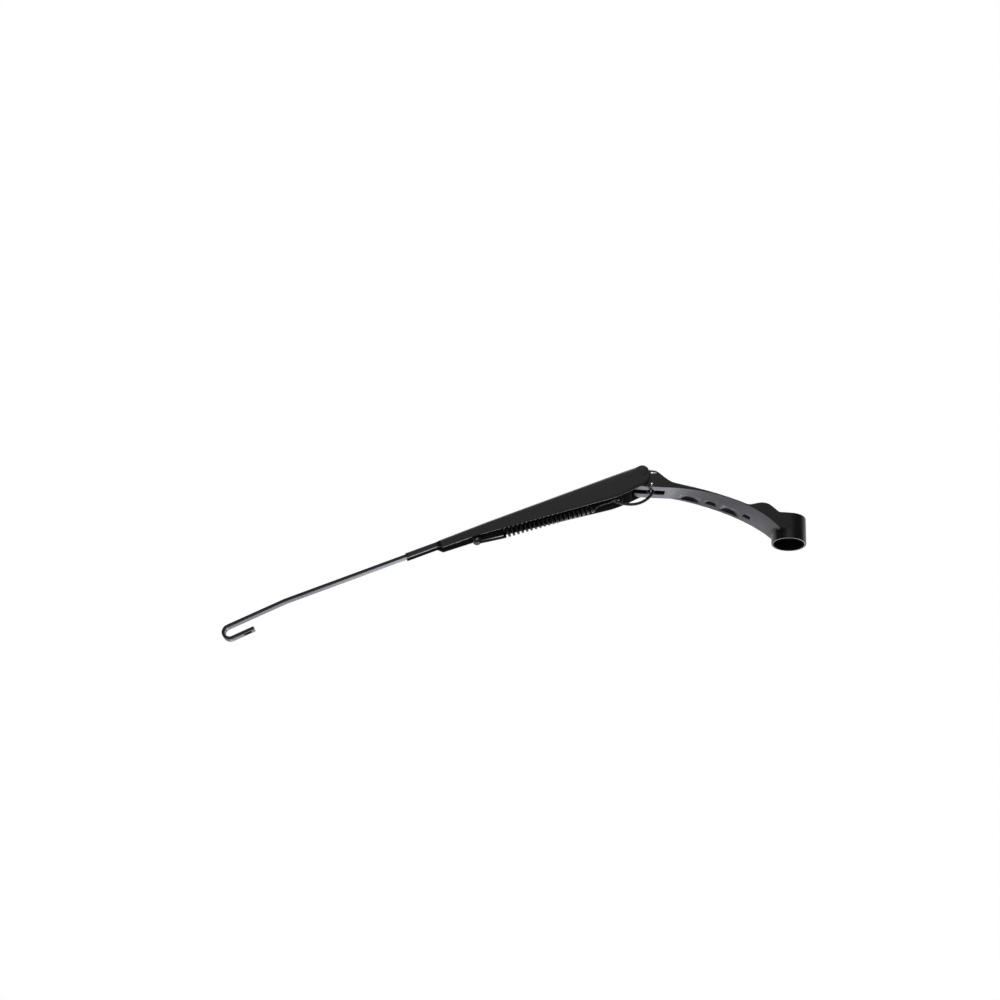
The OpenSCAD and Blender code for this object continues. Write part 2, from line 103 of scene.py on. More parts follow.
# The light: a white tent, brighter under and behind the arm than in front of it. The camera sees a white
# backdrop. Gloss sees that backdrop with its front shaded, to about half in the middle and nearly to black at
# the right and the far left, and with a roof over the front that is brighter than white.
world = bpy.data.worlds.new("white_tent")
bpy.context.scene.world = world
world.use_nodes = True
tree = world.node_tree
tree.nodes.clear()
direction = add_node(tree, "ShaderNodeTexCoord").outputs["Generated"]
split = add_node(tree, "ShaderNodeSeparateXYZ", {"Vector": direction})
below = add_node(tree, "ShaderNodeMapRange", {
    "Value": split.outputs["Z"], "From Min": 0.5, "From Max": -0.5, "To Min": 0.0, "To Max": 1.0})
behind = add_node(tree, "ShaderNodeMapRange", {
    "Value": split.outputs["Y"], "From Min": -0.6, "From Max": 0.7, "To Min": 0.12, "To Max": 1.0})
tent = add_node(tree, "ShaderNodeMath", {0: below.outputs["Result"], 1: behind.outputs["Result"]},
                operation="MULTIPLY")
glow = add_node(tree, "ShaderNodeMapRange", {
    "Value": tent.outputs["Value"], "From Min": 0.0, "From Max": 1.0, "To Min": 0.3, "To Max": 1.0})
right_flag = add_node(tree, "ShaderNodeMapRange", {
    "Value": split.outputs["X"], "From Min": 0.12, "From Max": 0.24, "To Min": 0.0, "To Max": 0.52})
left_flag = add_node(tree, "ShaderNodeMapRange", {
    "Value": split.outputs["X"], "From Min": -0.28, "From Max": -0.46, "To Min": 0.45, "To Max": 0.95})
both_flags = add_node(tree, "ShaderNodeMath", {
    0: right_flag.outputs["Result"], 1: left_flag.outputs["Result"]}, operation="ADD")
in_front = add_node(tree, "ShaderNodeMapRange", {
    "Value": split.outputs["Y"], "From Min": 0.35, "From Max": 0.0, "To Min": 0.0, "To Max": 1.0})
under_roof = add_node(tree, "ShaderNodeMapRange", {
    "Value": split.outputs["Z"], "From Min": 0.88, "From Max": 0.7, "To Min": -0.6, "To Max": 1.0})
front_shade = add_node(tree, "ShaderNodeMath", {
    0: both_flags.outputs["Value"], 1: in_front.outputs["Result"]}, operation="MULTIPLY")
shade = add_node(tree, "ShaderNodeMath", {
    0: front_shade.outputs["Value"], 1: under_roof.outputs["Result"]}, operation="MULTIPLY")
backdrop = add_node(tree, "ShaderNodeMath", {0: 1.0, 1: shade.outputs["Value"]}, operation="SUBTRACT")
light_path = add_node(tree, "ShaderNodeLightPath")
mirrored = add_node(tree, "ShaderNodeMath", {
    0: light_path.outputs["Is Glossy Ray"], 1: light_path.outputs["Is Transmission Ray"]}, operation="ADD")
lit = add_node(tree, "ShaderNodeMix", {
    0: mirrored.outputs["Value"], 2: glow.outputs["Result"], 3: backdrop.outputs["Value"]}, data_type="FLOAT")
strength = add_node(tree, "ShaderNodeMix", {
    0: light_path.outputs["Is Camera Ray"], 2: lit.outputs[0], 3: 1.0}, data_type="FLOAT")
background = add_node(tree, "ShaderNodeBackground", {
    "Color": linear("#ffffff"), "Strength": strength.outputs[0]})
add_node(tree, "ShaderNodeOutputWorld", {"Surface": background.outputs["Background"]})


def add_lamp(name, at, aim, size, watts, tint="#ffffff"):
    """A square soft box that faces a point and isn't seen itself."""
    lamp = bpy.data.objects.new(name, bpy.data.lights.new(name, "AREA"))
    lamp.data.shape = "SQUARE"
    lamp.data.size = size
    lamp.data.energy = watts
    lamp.data.color = linear(tint)[:3]
    toward = Vector(aim) - Vector(at)
    lamp.matrix_world = Matrix.Translation(at) @ toward.to_track_quat("-Z", "Y").to_matrix().to_4x4()
    lamp.visible_camera = False
    bpy.context.scene.collection.objects.link(lamp)


middle = (Vector(cad_box[0]) + Vector(cad_box[1])) / 2
add_lamp("soft_box_behind_right", middle + Vector((0.56, 2.0, -0.68)), middle, 0.72, 5.6, "#eceeff")
add_lamp("soft_box_behind_left", middle + Vector((-0.25, 2.0, -0.82)), middle, 0.55, 3.3, "#e4e6ff")
add_lamp("soft_box_above", middle + Vector((-0.1, 0.0, 1.3)), middle, 1.0, 8.0)
add_lamp("small_lamp_front", middle + Vector((0.1, -0.75, 1.1)), middle, 0.12, 1.5)

# The floor is plain and pale and lies just under the hook. Its own underside is see-through,
# because the photograph's camera looks up from below it.
floor_drop = 0.004
floor_reach = 4.0
floor_z = cad_box[0][2] - floor_drop
floor_mesh = bpy.data.meshes.new("floor")
floor_mesh.from_pydata(
    [(x, y, floor_z) for x, y in ((-floor_reach, -floor_reach), (floor_reach, -floor_reach),
                                  (floor_reach, floor_reach), (-floor_reach, floor_reach))],
    [], [(0, 1, 2, 3)])
floor = bpy.data.objects.new("floor", floor_mesh)
bpy.context.scene.collection.objects.link(floor)
floor.visible_diffuse = False
floor.visible_glossy = False
floor.visible_shadow = False
# Matt white paper, pressed and uncoated: an even pale white, with a faint cloudiness from its fibres.
paper = bpy.data.materials.new("matt_white_paper")
paper.use_nodes = True
tree = paper.node_tree
tree.nodes.clear()
fibres = add_node(tree, "ShaderNodeTexNoise", {"Scale": 40.0, "Detail": 4.0})
tone = add_node(tree, "ShaderNodeMix", {
    0: fibres.outputs["Fac"], 6: linear("#eeeeee"), 7: linear("#f4f4f4")}, data_type="RGBA")
sheet = add_node(tree, "ShaderNodeBsdfDiffuse", {"Color": tone.outputs[2]})
seen = add_node(tree, "ShaderNodeLightPath")
paper_lift = 0.42
lift = add_node(tree, "ShaderNodeMath", {
    0: seen.outputs["Is Camera Ray"], 1: paper_lift}, operation="MULTIPLY")
paleness = add_node(tree, "ShaderNodeEmission", {
    "Color": tone.outputs[2], "Strength": lift.outputs["Value"]})
pale_sheet = add_node(tree, "ShaderNodeAddShader", {
    0: sheet.outputs["BSDF"], 1: paleness.outputs["Emission"]})
clear = add_node(tree, "ShaderNodeBsdfTransparent")
side = add_node(tree, "ShaderNodeNewGeometry")
either = add_node(tree, "ShaderNodeMixShader", {
    0: side.outputs["Backfacing"], 1: pale_sheet.outputs["Shader"], 2: clear.outputs["BSDF"]})
add_node(tree, "ShaderNodeOutputMaterial", {"Surface": either.outputs["Shader"]})
floor_mesh.materials.append(paper)

# The head is one aluminium die casting, powder coated satin black, from the spindle hub over the
# bowed arm with its pockets to the knuckle. Its edges and inner corners are rounded as the die leaves them.
mm = 0.001
grain = 0.36 * mm
softening_passes = 18
kept_share = 0.22
upper_edge_r = [(-149, 0.3), (-147, 1.6), (-137, 1.6), (-126, 1.0), (-118, 0.3)]
face_passes = 90
real_edge = math.radians(14)
outline_step = 0.8
crown_half_w = 5
belt_from, belt_to = 1.6, 3.2


def painted(name, dark, light, roughness, peel, peel_depth, streak=(1, 1, 1)):
    """Satin black paint: two close blacks in slow drifts, and a fine skin that breaks up the gloss.
    peel is the size of the skin's bumps and streak stretches the drifts, for metal that was drawn."""
    material = bpy.data.materials.new(name)
    material.use_nodes = True
    tree = material.node_tree
    tree.nodes.clear()
    place = add_node(tree, "ShaderNodeTexCoord").outputs["Object"]
    along = add_node(tree, "ShaderNodeMapping", {"Vector": place, "Scale": streak})
    drift = add_node(tree, "ShaderNodeTexNoise", {
        "Vector": along.outputs["Vector"], "Scale": 1 / (18 * mm), "Detail": 3.0})
    colour = add_node(tree, "ShaderNodeMix", {
        0: drift.outputs["Fac"], 6: linear(dark), 7: linear(light)}, data_type="RGBA")
    gloss = add_node(tree, "ShaderNodeMapRange", {
        "Value": drift.outputs["Fac"], "From Min": 0.3, "From Max": 0.7,
        "To Min": roughness - 0.05, "To Max": roughness + 0.05})
    skin = add_node(tree, "ShaderNodeTexNoise", {"Vector": place, "Scale": 1 / peel, "Detail": 2.0})
    bumps = add_node(tree, "ShaderNodeBump", {
        "Height": skin.outputs["Fac"], "Strength": 0.5, "Distance": peel_depth})
    shader = add_node(tree, "ShaderNodeBsdfPrincipled", {
        "Base Color": colour.outputs[2], "Roughness": gloss.outputs["Result"], "IOR": 1.5,
        "Normal": bumps.outputs["Normal"]})
    add_node(tree, "ShaderNodeOutputMaterial", {"Surface": shader.outputs["BSDF"]})
    return material


def new_piece(name, mesh, material, body, slot, *replaced):
    """A finished piece: it is linked, takes its material, and rides on its body, if it has only one."""
    piece = bpy.data.objects.new(name, mesh)
    bpy.context.scene.collection.objects.link(piece)
    if material.name not in mesh.materials:
        mesh.materials.append(material)
    if body:
        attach(piece, body)
    if replaced:
        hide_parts(*replaced)
    return piece


def merged_copy(node):
    """A CAD node's mesh as one joined surface."""
    shell = bmesh.new()
    shell.from_mesh(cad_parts[node].data)
    bmesh.ops.remove_doubles(shell, verts=shell.verts, dist=0.001 * mm)
    mesh = bpy.data.meshes.new(node)
    shell.to_mesh(mesh)
    shell.free()
    return mesh


def applied(mesh, *modifiers):
    """The mesh after a chain of modifiers, each given as its type and its settings."""
    carrier = bpy.data.objects.new("carrier", mesh)
    bpy.context.scene.collection.objects.link(carrier)
    for kind, settings in modifiers:
        modifier = carrier.modifiers.new(kind.lower(), kind)
        for name, value in settings.items():
            setattr(modifier, name, value)
    shaped = bpy.data.meshes.new_from_object(
        carrier.evaluated_get(bpy.context.evaluated_depsgraph_get()))
    bpy.data.objects.remove(carrier)
    return shaped


def between(x, points):
    """The height at x of a line through points given from left to right."""
    for (x0, z0), (x1, z1) in zip(points, points[1:]):
        if x <= x1:
            return z0 + (z1 - z0) * max(0.0, x - x0) / (x1 - x0)
    return points[-1][1]


def upper_outline(mesh):
    """Along the bowed arm, the height of its top and the places of its two sides just below the top."""
    top, low, high = [], [], []
    first, last = upper_edge_r[0][0], upper_edge_r[-1][0]
    count = int((last - first) / outline_step) + 1
    rows = [[] for _ in range(count)]
    for v in mesh.vertices:
        k = int((v.co.x / mm - first) / outline_step)
        if 0 <= k < count:
            rows[k].append(v.co / mm)
    for k, row in enumerate(rows):
        x = first + (k + 0.5) * outline_step
        crown = max(p.z for p in row if abs(p.y) < crown_half_w)
        belt = [p.y for p in row if belt_from < crown - p.z < belt_to]
        top.append((x, crown))
        low.append((x, min(belt)))
        high.append((x, max(belt)))
    return top, low, high


def even_faces(mesh):
    """Evens out the faces between the casting's edges, and leaves the edges where they are.
    A place counts as an edge where the surface turns by more than real_edge from one point to the next."""
    count = len(mesh.vertices)
    places = np.empty(count * 3)
    normals = np.empty(count * 3)
    ends = np.empty(len(mesh.edges) * 2, dtype=np.int32)
    mesh.vertices.foreach_get("co", places)
    mesh.vertex_normals.foreach_get("vector", normals)
    mesh.edges.foreach_get("vertices", ends)
    places, normals = places.reshape(-1, 3).T.copy(), normals.reshape(-1, 3)
    a, b = ends.reshape(-1, 2).T
    kink = (normals[a] * normals[b]).sum(axis=1) < math.cos(real_edge)
    free = np.ones(count, dtype=bool)
    free[a[kink]] = False
    free[b[kink]] = False
    degree = np.bincount(a, minlength=count) + np.bincount(b, minlength=count)
    for _ in range(face_passes):
        for column in places:
            mean = (np.bincount(a, column[b], count) + np.bincount(b, column[a], count)) / degree
            column[free] += (mean[free] - column[free]) / 2
    mesh.vertices.foreach_set("co", places.T.ravel())
    mesh.update()


def round_upper_edges(mesh):
    """Moves what stands outside the round edge onto it, along both upper edges of the bowed arm."""
    top, low, high = upper_outline(mesh)
    for v in mesh.vertices:
        x, y, z = v.co / mm
        if not top[0][0] < x < top[-1][0]:
            continue
        r = between(x, upper_edge_r)
        crown = between(x, top)
        slope = math.atan(between(x + 1, top) - crown)
        under = (crown - z) * math.cos(slope)
        for edge, side in ((between(x, low), 1), (between(x, high), -1)):
            inside = (y - edge) * side
            reach = math.hypot(r - inside, r - under)
            if inside < r and under < r and reach > r:
                v.co.y = (edge + side * (r - (r - inside) * r / reach)) * mm
                v.co.z = (crown - (r - (r - under) * r / reach) / math.cos(slope)) * mm


# Powder coat, sprayed and baked on the casting: an even satin black with a fine orange-peel skin.
powder_coat = painted("powder_coated_aluminium", "#0b0b0c", "#0f0f11", 0.36, 0.9 * mm, 0.02 * mm)
casting_form = bpy.data.objects.new("casting_form", merged_copy("head"))
bpy.context.scene.collection.objects.link(casting_form)
casting = applied(
    merged_copy("head"),
    ("REMESH", {"mode": "VOXEL", "voxel_size": grain, "use_smooth_shade": True}),
    ("SHRINKWRAP", {"target": casting_form, "wrap_method": "NEAREST_SURFACEPOINT"}))
bpy.data.objects.remove(casting_form)
even_faces(casting)
round_upper_edges(casting)
casting = applied(
    casting,
    ("SMOOTH", {"factor": 0.5, "iterations": softening_passes}),
    ("DECIMATE", {"ratio": kept_share}))
casting.shade_smooth()
casting.materials.clear()
new_piece("head_casting", casting, powder_coat, "head", "black_casting", "head")

# The hinge turns in two flanged bushes of dark bearing plastic, pressed into the head from both sides.
# Only the rims of their flanges show in the gap beside the head.
# Acetal, moulded: a faintly mottled dark grey with a soft, waxy sheen.
acetal = bpy.data.materials.new("moulded_acetal")
acetal.use_nodes = True
tree = acetal.node_tree
shader = tree.nodes["Principled BSDF"]
place = add_node(tree, "ShaderNodeTexCoord").outputs["Object"]
mottle = add_node(tree, "ShaderNodeTexNoise", {"Vector": place, "Scale": 1 / (1.5 * mm), "Detail": 3.0})
colour = add_node(tree, "ShaderNodeMix", {
    0: mottle.outputs["Fac"], 6: linear("#3a3a3a"), 7: linear("#4a4a48")}, data_type="RGBA")
tree.links.new(colour.outputs[2], shader.inputs["Base Color"])
shader.inputs["Roughness"].default_value = 0.45
shader.inputs["IOR"].default_value = 1.48
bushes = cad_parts["hinge_bushes"]
bushes.data.materials.clear()
bushes.data.materials.append(acetal)

# The channel is one folded steel sheet, open below, painted satin black. Its flanges end in a round
# heel beside the knuckle, and its narrow mouth is crimped round the rod.
hinge = Vector((-149.8, 0, 48.5)) * mm
droop = math.radians(27.1)
sheet_t = 1.0
channel_len = 255.0
grip_from = 223.0
grip_step = 5.0
grip_half_w = 5.0
narrow_half_w = 7.0
wide_half_w = 15.42
wide_len = 20.0
top_end = 8.0
end_r = 7.5
slope_len = 170.0
rod_under = 6.4
rod_t = 3.0
top_z = rod_under + rod_t + sheet_t
grip_edge = 5.0
step_edge = 1.3
anchor_x = 182.8
anchor_edge = 0.3
belly_len = 42.0
flange_drop = 15.8
heel_reach = 5.7
heel_r = 12.9
heel_x = heel_reach - heel_r
bend_r = 2.6
edge_round = 0.16
open_bend = math.radians(40)
least_flat = 3.5


def on_arm(x, y, z):
    """From the arm's own frame, in mm from the hinge with -X along the rod, to the row's frame."""
    turn = Matrix.Rotation(-droop, 3, "Y")
    return hinge + turn @ Vector((x, y, z)) * mm


def bezier(p, steps):
    """Points on a cubic curve with four control points."""
    curve = []
    for i in range(steps + 1):
        t = i / steps
        weights = ((1 - t) ** 3, 3 * (1 - t) ** 2 * t, 3 * (1 - t) * t * t, t ** 3)
        curve.append(tuple(sum(w * q[k] for w, q in zip(weights, p)) for k in range(2)))
    return curve


def half_width(x):
    """Half of the channel's outer width, with soft corners at both ends of the step."""
    step = min(max((x + grip_from) / grip_step, 0), 1)
    narrow = grip_half_w + (narrow_half_w - grip_half_w) * step * step * (3 - 2 * step)
    taper = (x + grip_from - grip_step) / (grip_from - grip_step - wide_len)
    return narrow + (wide_half_w - narrow_half_w) * min(max(taper, 0), 1)


flange_edge = [(-channel_len, grip_edge), (-grip_from, grip_edge), (-grip_from + grip_step, step_edge),
               (-anchor_x, anchor_edge)]
flange_edge += bezier([(-belly_len, 0.3 - flange_drop), (8 - belly_len, -0.4 - flange_drop),
                       (18 - belly_len, 0.3 - flange_drop), (heel_x, -1 - heel_r)], 10)
flange_edge += [(heel_x + heel_r * math.sin(math.radians(a)), -1 - heel_r * math.cos(math.radians(a)))
                for a in range(6, 91, 6)]
crown = [(-channel_len, top_z), (-slope_len, top_z), (heel_reach + 0.2 - end_r, end_r)]
crown += [(heel_reach + 0.2 - end_r + end_r * math.sin(math.radians(a)), end_r * math.cos(math.radians(a)))
          for a in range(6, 91, 6)]

stations = [-channel_len + 4 * i for i in range(8)]
stations += [-grip_from + grip_step * (i / 8 - 0.25) for i in range(13)]
stations += [-215 + 8 * i for i in range(22)] + [-40 + 3 * i for i in range(11)] + [-top_end]
end_stations = [(heel_reach + top_end) * math.sin(math.radians(a)) - top_end for a in range(6, 90, 6)]
end_stations.append(heel_reach)
flange_rows = 7
corner_rows = 6
top_rows = 6


def flange_points(x, top, side):
    """One flange at x, from its lower edge up to the height at which the bend starts."""
    foot = between(x, flange_edge)
    return [(x, side * half_width(x), foot + (top - foot) * i / (flange_rows - 1))
            for i in range(flange_rows)]


def bend_radius(x):
    """The bend's outer radius at x. The flat top keeps at least least_flat to each side of its middle."""
    return min(bend_r, half_width(x) - least_flat)


def bend_points(x, side):
    """The round bend between a flange and the top at x, without its first point."""
    r = bend_radius(x)
    steps = [math.radians(90 * i / corner_rows) for i in range(1, corner_rows + 1)]
    return [(x, side * (half_width(x) - r + r * math.cos(a)), between(x, crown) - r + r * math.sin(a))
            for a in steps]


def open_points(x, side):
    """Past the end of the top: the bend runs out, and the flange goes on to its round end."""
    top = between(x, crown)
    start = max(top - bend_r, between(x, flange_edge))
    left_bend = open_bend * (heel_reach - x) / (heel_reach + top_end)
    rise = (top - start) * (1 - (1 - math.sin(open_bend)) * left_bend / open_bend)
    lean = [(x, side * (half_width(x) - bend_r * (1 - math.cos(left_bend * i / corner_rows))),
             start + rise * i / corner_rows) for i in range(1, corner_rows + 1)]
    return flange_points(x, start, side) + lean


def channel_shell():
    """The outer face of the folded sheet as one grid, and its two flange ends."""
    shell = bmesh.new()
    rows = []
    for x in stations:
        r = bend_radius(x)
        near = flange_points(x, between(x, crown) - r, -1) + bend_points(x, -1)
        far = flange_points(x, between(x, crown) - r, 1) + bend_points(x, 1)
        inner = half_width(x) - r
        flat = [(x, -inner + 2 * inner * i / top_rows, between(x, crown)) for i in range(1, top_rows)]
        rows.append([shell.verts.new(on_arm(*p)) for p in near + flat + far[::-1]])
    for a, b in zip(rows, rows[1:]):
        for i in range(len(a) - 1):
            shell.faces.new((a[i], a[i + 1], b[i + 1], b[i]))
    count = flange_rows + corner_rows
    for side, start in ((-1, rows[-1][:count]), (1, rows[-1][::-1][:count])):
        before = start
        for x in end_stations:
            after = [shell.verts.new(on_arm(*p)) for p in open_points(x, side)]
            for i in range(count - 1):
                shell.faces.new((before[i], before[i + 1], after[i + 1], after[i]))
            before = after
    bmesh.ops.remove_doubles(shell, verts=shell.verts, dist=0.02 * mm)
    bmesh.ops.recalc_face_normals(shell, faces=shell.faces)
    if sum((f.normal.z for f in shell.faces if abs(f.normal.y) < 0.1)) < 0:
        bmesh.ops.reverse_faces(shell, faces=shell.faces)
    mesh = bpy.data.meshes.new("channel_shell")
    shell.to_mesh(mesh)
    shell.free()
    return mesh


# Stove enamel, sprayed and baked on the folded sheet: a little lighter and smoother than the casting's coat.
sheet_paint = painted("stove_enamelled_steel", "#111113", "#161618", 0.34, 1.4 * mm, 0.015 * mm)
# Enamel inside the channel: duller, and lighter and browner than outside, which is painted light.
inner_face_lit_paint = painted("inner_face_painted_light_steel", "#2b2726", "#332e2c", 0.5, 1.0 * mm, 0.015 * mm)
shell_mesh = channel_shell()
shell_mesh.materials.append(sheet_paint)
shell_mesh.materials.append(inner_face_lit_paint)
# The sheet's inner faces take the second material, with the painted light inside the channel.
folded = applied(
    shell_mesh,
    ("SOLIDIFY", {"thickness": sheet_t * mm, "offset": -1.0, "use_even_offset": True, "material_offset": 1}),
    ("BEVEL", {"width": edge_round * mm, "segments": 2, "limit_method": "ANGLE",
               "angle_limit": math.radians(50)}))
folded.shade_smooth()
folded.set_sharp_from_angle(angle=math.radians(35))
new_piece("channel_sheet", folded, sheet_paint, "arm", "black_steel", "channel")

# The hinge rivet is turned steel, pushed through both flanges and the bushes and riveted over outside.
# Its painted heads are low domes.
rivet_d = 6.0
rivet_head_d = 7.6
rivet_head_h = 0.25


def turned_piece(name, profile, at, axis, sides=48):
    """A turned solid from its outline, as (distance along the axis, radius) in mm from end to end."""
    shell = bmesh.new()
    aim = Vector(axis).normalized().to_track_quat("Z", "Y").to_matrix()
    rings = []
    for along, r in profile:
        ring = []
        for k in range(sides if r > 0 else 1):
            a = 2 * math.pi * k / sides
            ring.append(shell.verts.new(at + aim @ Vector((r * math.cos(a), r * math.sin(a), along)) * mm))
        rings.append(ring)
    for a, b in zip(rings, rings[1:]):
        for k in range(sides):
            ends = [a[k % len(a)], a[(k + 1) % len(a)], b[(k + 1) % len(b)], b[k % len(b)]]
            shell.faces.new(list(dict.fromkeys(ends)))
    bmesh.ops.recalc_face_normals(shell, faces=shell.faces)
    mesh = bpy.data.meshes.new(name)
    shell.to_mesh(mesh)
    shell.free()
    mesh.shade_smooth()
    mesh.set_sharp_from_angle(angle=math.radians(35))
    return mesh


def dome(start, r, h, steps=7):
    """Outline of a low domed head with a short upright rim, from its seat to its crown."""
    rim = 0.35 * h
    broken_edge = 0.15
    crown_share = 0.35
    points = [(start, r - broken_edge), (start + broken_edge, r)]
    for i in range(steps + 1):
        a = math.radians(90 * i / steps)
        points.append((start + rim + (h - rim) * math.sin(a),
                       r * (1 - crown_share * (1 - math.cos(a))) if i < steps else 0))
    return points


head_outline = dome(wide_half_w, rivet_head_d / 2, rivet_head_h)
rivet_outline = [(-a, r) for a, r in head_outline[::-1]] + [(-wide_half_w, rivet_d / 2)]
rivet_outline += [(wide_half_w, rivet_d / 2)] + head_outline
rivet_mesh = turned_piece("hinge_rivet_turned", rivet_outline, hinge, (0, 1, 0))
new_piece("hinge_rivet_turned", rivet_mesh, sheet_paint, "arm", "black_steel", "hinge_rivet")

# The rod is flat rolled steel bar with round edges, bent slightly near its end and into the hook for
# the blade, with an oval hole in the hook's return leg.
rod_w = 8.0
rod_start = 172.0
bend_at = 381.0
bend_angle = math.radians(4.4)
rod_bend_r = 40.0
tip_len = 59.5
hook_r = 4.9
return_len = 22.4
rod_edge_r = 0.3
eye_len = 8.0
eye_w = 4.4
eye_inset = 7.5


def on_tip(x, z):
    """From the tip's own frame, with its origin on the bend's underside, to the arm's frame."""
    c, s = math.cos(bend_angle), math.sin(bend_angle)
    return -bend_at + x * c - z * s, rod_under + x * s + z * c


def rod_line():
    """Points along the middle of the bar, from its inner end to the end of the hook, in the arm's frame."""
    half = rod_t / 2
    line = [(-rod_start - along, rod_under + half) for along in (0, 60, 120)]
    centre_x = -bend_at + rod_bend_r * math.tan(bend_angle / 2)
    for i in range(7):
        a = math.pi / 2 + bend_angle * i / 6
        line.append((centre_x + (rod_bend_r + half) * math.cos(a),
                     rod_under - rod_bend_r + (rod_bend_r + half) * math.sin(a)))
    for i in range(33):
        a = math.pi / 2 + math.pi * i / 32
        line.append(on_tip(-tip_len + (hook_r + half) * math.cos(a),
                           -hook_r + (hook_r + half) * math.sin(a)))
    line.append(on_tip(-tip_len + return_len / 2, -2 * hook_r - half))
    line.append(on_tip(-tip_len + return_len, -2 * hook_r - half))
    return line


def bar_section(inset=0.0):
    """Outline of the bar's section as (across, thick), with its round corners."""
    w, t, r = rod_w / 2 - inset, rod_t / 2 - inset, rod_edge_r
    outline = []
    for cx, cz, start in ((w - r, t - r, 0), (r - w, t - r, 90), (r - w, r - t, 180), (w - r, r - t, 270)):
        for i in range(5):
            a = math.radians(start + 22.5 * i)
            outline.append((cx + r * math.cos(a), cz + r * math.sin(a)))
    return outline


def bar_mesh():
    """The bar swept along its line, with ends that are slightly broken."""
    shell = bmesh.new()
    line = [Vector(p) for p in rod_line()]
    first_step = (line[1] - line[0]).normalized()
    last_step = (line[-1] - line[-2]).normalized()
    broken_edge = 0.3
    route = [(line[0], broken_edge), (line[0] + first_step * broken_edge, 0.0)]
    route += [(p, 0.0) for p in line[1:-1]]
    route += [(line[-1] - last_step * broken_edge, 0.0), (line[-1], broken_edge)]
    rings = []
    for i, (p, inset) in enumerate(route):
        ahead = (route[min(i + 1, len(route) - 1)][0] - route[max(i - 1, 0)][0]).normalized()
        up = Vector((-ahead.y, ahead.x)) * -1
        rings.append([shell.verts.new(on_arm(p.x + up.x * t, y, p.y + up.y * t))
                      for y, t in bar_section(inset)])
    for a, b in zip(rings, rings[1:]):
        for k in range(len(a)):
            j = (k + 1) % len(a)
            shell.faces.new((a[k], a[j], b[j], b[k]))
    shell.faces.new(rings[0])
    shell.faces.new(rings[-1][::-1])
    bmesh.ops.recalc_face_normals(shell, faces=shell.faces)
    mesh = bpy.data.meshes.new("rod_bar")
    shell.to_mesh(mesh)
    shell.free()
    return mesh


def oval_cutter():
    """The punched oval hole, a little flared at both faces of the leg."""
    shell = bmesh.new()
    flare, flare_depth, past_face, outer_flare = 0.32, 0.3, 0.02, 1.6
    levels = ((-rod_t, outer_flare), (-rod_t / 2 - past_face, flare), (flare_depth - rod_t / 2, 0.0),
              (rod_t / 2 - flare_depth, 0.0), (rod_t / 2 + past_face, flare), (rod_t, outer_flare))
    rings = []
    for level, wider in levels:
        ring = []
        for k in range(40):
            a = math.radians(9 * k + 4.5)
            r = eye_w / 2 + wider
            shift = math.copysign((eye_len - eye_w) / 2, math.cos(a))
            x, z = on_tip(-tip_len + return_len - eye_inset + shift + r * math.cos(a),
                          -2 * hook_r - rod_t / 2 + level)
            ring.append(shell.verts.new(on_arm(x, r * math.sin(a), z)))
        rings.append(ring)
    for a, b in zip(rings, rings[1:]):
        for k in range(len(a)):
            j = (k + 1) % len(a)
            shell.faces.new((a[k], a[j], b[j], b[k]))
    shell.faces.new(rings[0])
    shell.faces.new(rings[-1])
    bmesh.ops.recalc_face_normals(shell, faces=shell.faces)
    mesh = bpy.data.meshes.new("oval_cutter")
    shell.to_mesh(mesh)
    shell.free()
    cutter = bpy.data.objects.new("oval_cutter", mesh)
    bpy.context.scene.collection.objects.link(cutter)
    return cutter


cutter = oval_cutter()
bar = applied(bar_mesh(), ("BOOLEAN", {"operation": "DIFFERENCE", "object": cutter, "solver": "EXACT"}))
bpy.data.objects.remove(cutter)
bar.shade_smooth()
bar.set_sharp_from_angle(angle=math.radians(35))
# Stove enamel, sprayed and baked on rolled bar: glossier than the sheet, with tones drawn out along the bar.
rod_paint = painted(
    "enamelled_rolled_bar", "#111113", "#18181b", 0.3, 1.1 * mm, 0.012 * mm, (0.15, 1, 0.3))
new_piece("rod_bar", bar, rod_paint, "arm", "black_steel", "rod")

# The spring's hanger is a small folded steel lug, riveted under the rod's end with two rivets.
# Its anchor pin is cut steel rod, and its bare ends shine beside the lug.
hanger = applied(
    merged_copy("spring_hanger"),
    ("DECIMATE", {"decimate_type": "DISSOLVE", "angle_limit": math.radians(1)}),
    ("BEVEL", {"width": 0.2 * mm, "segments": 2, "limit_method": "ANGLE",
               "angle_limit": math.radians(50)}))
hanger.materials.clear()
hanger.shade_smooth()
hanger.set_sharp_from_angle(angle=math.radians(35))
new_piece("spring_hanger_lug", hanger, sheet_paint, "arm", "black_steel", "spring_hanger")

anchor_drop = 1.4
anchor_d = 3.0
anchor_reach = 3.7
# Bare steel, cut and turned: bright metal in two close greys, finely mottled, with soft-edged reflections.
bare_steel = bpy.data.materials.new("turned_bare_steel")
bare_steel.use_nodes = True
tree = bare_steel.node_tree
shader = tree.nodes["Principled BSDF"]
place = add_node(tree, "ShaderNodeTexCoord").outputs["Object"]
turning = add_node(tree, "ShaderNodeTexNoise", {"Vector": place, "Scale": 1 / (0.4 * mm), "Detail": 2.0})
colour = add_node(tree, "ShaderNodeMix", {
    0: turning.outputs["Fac"], 6: linear("#b9b8b4"), 7: linear("#d2d1cd")}, data_type="RGBA")
tree.links.new(colour.outputs[2], shader.inputs["Base Color"])
shader.inputs["Metallic"].default_value = 1.0
shader.inputs["Roughness"].default_value = 0.3
anchor = on_arm(-anchor_x, 0, -anchor_drop)
anchor_chamfer = 0.25
pin_outline = [(-anchor_reach, 0), (-anchor_reach, anchor_d / 2 - anchor_chamfer),
               (anchor_chamfer - anchor_reach, anchor_d / 2), (anchor_reach - anchor_chamfer, anchor_d / 2),
               (anchor_reach, anchor_d / 2 - anchor_chamfer), (anchor_reach, 0)]
